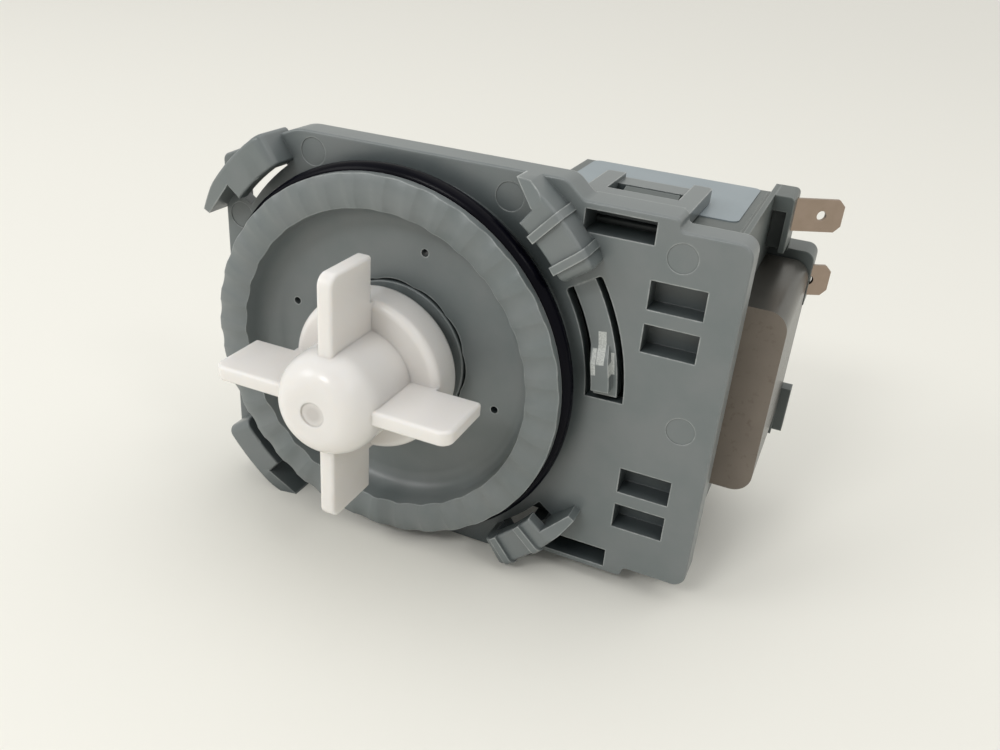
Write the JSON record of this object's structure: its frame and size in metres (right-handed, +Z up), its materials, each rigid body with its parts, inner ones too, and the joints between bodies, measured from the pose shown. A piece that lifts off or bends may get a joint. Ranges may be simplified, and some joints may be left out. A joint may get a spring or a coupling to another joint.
{
  "type": "dishwasher drain pump",
  "caption": "Synchronous drain pump with a bayonet flange, sprung latch, open bladed impeller and a coil housing with flat terminals.",
  "frame": {"origin": "on the shaft axis, in the plane of the plate's front face", "axes": "-Y along the shaft to the impeller, +X along the plate towards the terminals, +Z up"},
  "size_m": [0.1111, 0.0835, 0.076],
  "materials": {
    "grey_moulding": "satin glass-filled plastic",
    "dark_moulding": "satin glass-filled plastic",
    "white_moulding": "milky translucent plastic, satin",
    "black_rubber": "glossy wet-look rubber",
    "carbon_bearing": "plain bearing carbon, matt",
    "washer_plastic": "plain plastic, satin",
    "ground_shaft": "ground steel",
    "ferrite": "ground ferrite, matt",
    "core_iron": "punched core sheet, oxidised",
    "winding_copper": "enamelled copper wire",
    "label_film": "bare printed film, matt",
    "blade_metal": "tinned brass, dull",
    "protector_shell": "sleeved metal can"
  },
  "bodies": {
    "frame": {"mounting_flange": "grey_moulding", "seal_ring": "black_rubber", "front_cover": "grey_moulding", "front_bearing": "carbon_bearing", "front_grommet": "black_rubber", "rear_bearing": "carbon_bearing", "rear_grommet": "black_rubber", "stator_yoke": "core_iron", "upper_bobbin": "dark_moulding", "lower_bobbin": "dark_moulding", "upper_coil": "winding_copper", "lower_coil": "winding_copper", "coil_housing": "dark_moulding", "rating_label": "label_film", "terminal_block": "grey_moulding", "upper_terminal": "blade_metal", "lower_terminal": "blade_metal", "thermal_protector": "protector_shell", "winding_leads": "winding_copper", "core_retainer": "dark_moulding"},
    "rotor": {"rotor_shaft": "ground_shaft", "rotor_magnet": "ferrite", "magnet_sleeve": "washer_plastic", "front_thrust_washer": "washer_plastic", "rear_thrust_washer": "washer_plastic", "drive_dog": "washer_plastic"},
    "impeller_body": {"impeller": "white_moulding", "hub_cap": "white_moulding", "coupling_damper": "black_rubber"},
    "latch": {"latch_finger": "grey_moulding"}
  },
  "joints": [
    {"name": "rotor_spin", "type": "hinge", "parent": "frame", "child": "rotor", "pos_m": [0, 0, 0], "axis": [0, 1, 0], "continuous": true},
    {"name": "impeller_free_play", "type": "hinge", "parent": "rotor", "child": "impeller_body", "pos_m": [0, -0.02, 0], "axis": [0, 1, 0], "range_deg": [-85, 85]},
    {"name": "latch_flex", "type": "hinge", "parent": "frame", "child": "latch", "pos_m": [0.03443, 0.0013, 0.02151], "axis": [0.848, 0, 0.5299], "range_deg": [0, 6], "stiffness_Nm_per_rad": 0.6}
  ]
}
